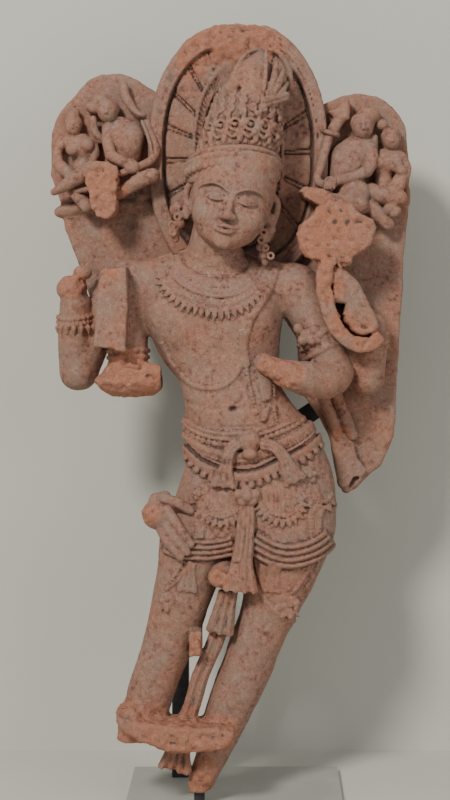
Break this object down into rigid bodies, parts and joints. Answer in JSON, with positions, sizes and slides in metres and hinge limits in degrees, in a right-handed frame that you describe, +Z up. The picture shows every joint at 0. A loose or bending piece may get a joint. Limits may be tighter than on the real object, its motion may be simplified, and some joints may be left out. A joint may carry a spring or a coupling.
{
  "type": "shiva figure",
  "caption": "Broken sandstone stele of a standing four-armed god with haloed head and small seated couples, held upright on a steel display mount.",
  "frame": {"origin": "centre of the foot plate's underside, on the surface the object stands on", "axes": "+Z up; the figure faces -Y; +X to the viewer's right"},
  "size_m": [0.5747, 0.295, 1.2332],
  "materials": {
    "sandstone": "matte",
    "black_steel": "satin",
    "pale_paint": "matte"
  },
  "bodies": {
    "root": {"stone_figure": "sandstone", "foot_plate": "pale_paint", "rear_post": "black_steel", "slanted_arm": "black_steel", "front_post": "black_steel"}
  },
  "joints": []
}
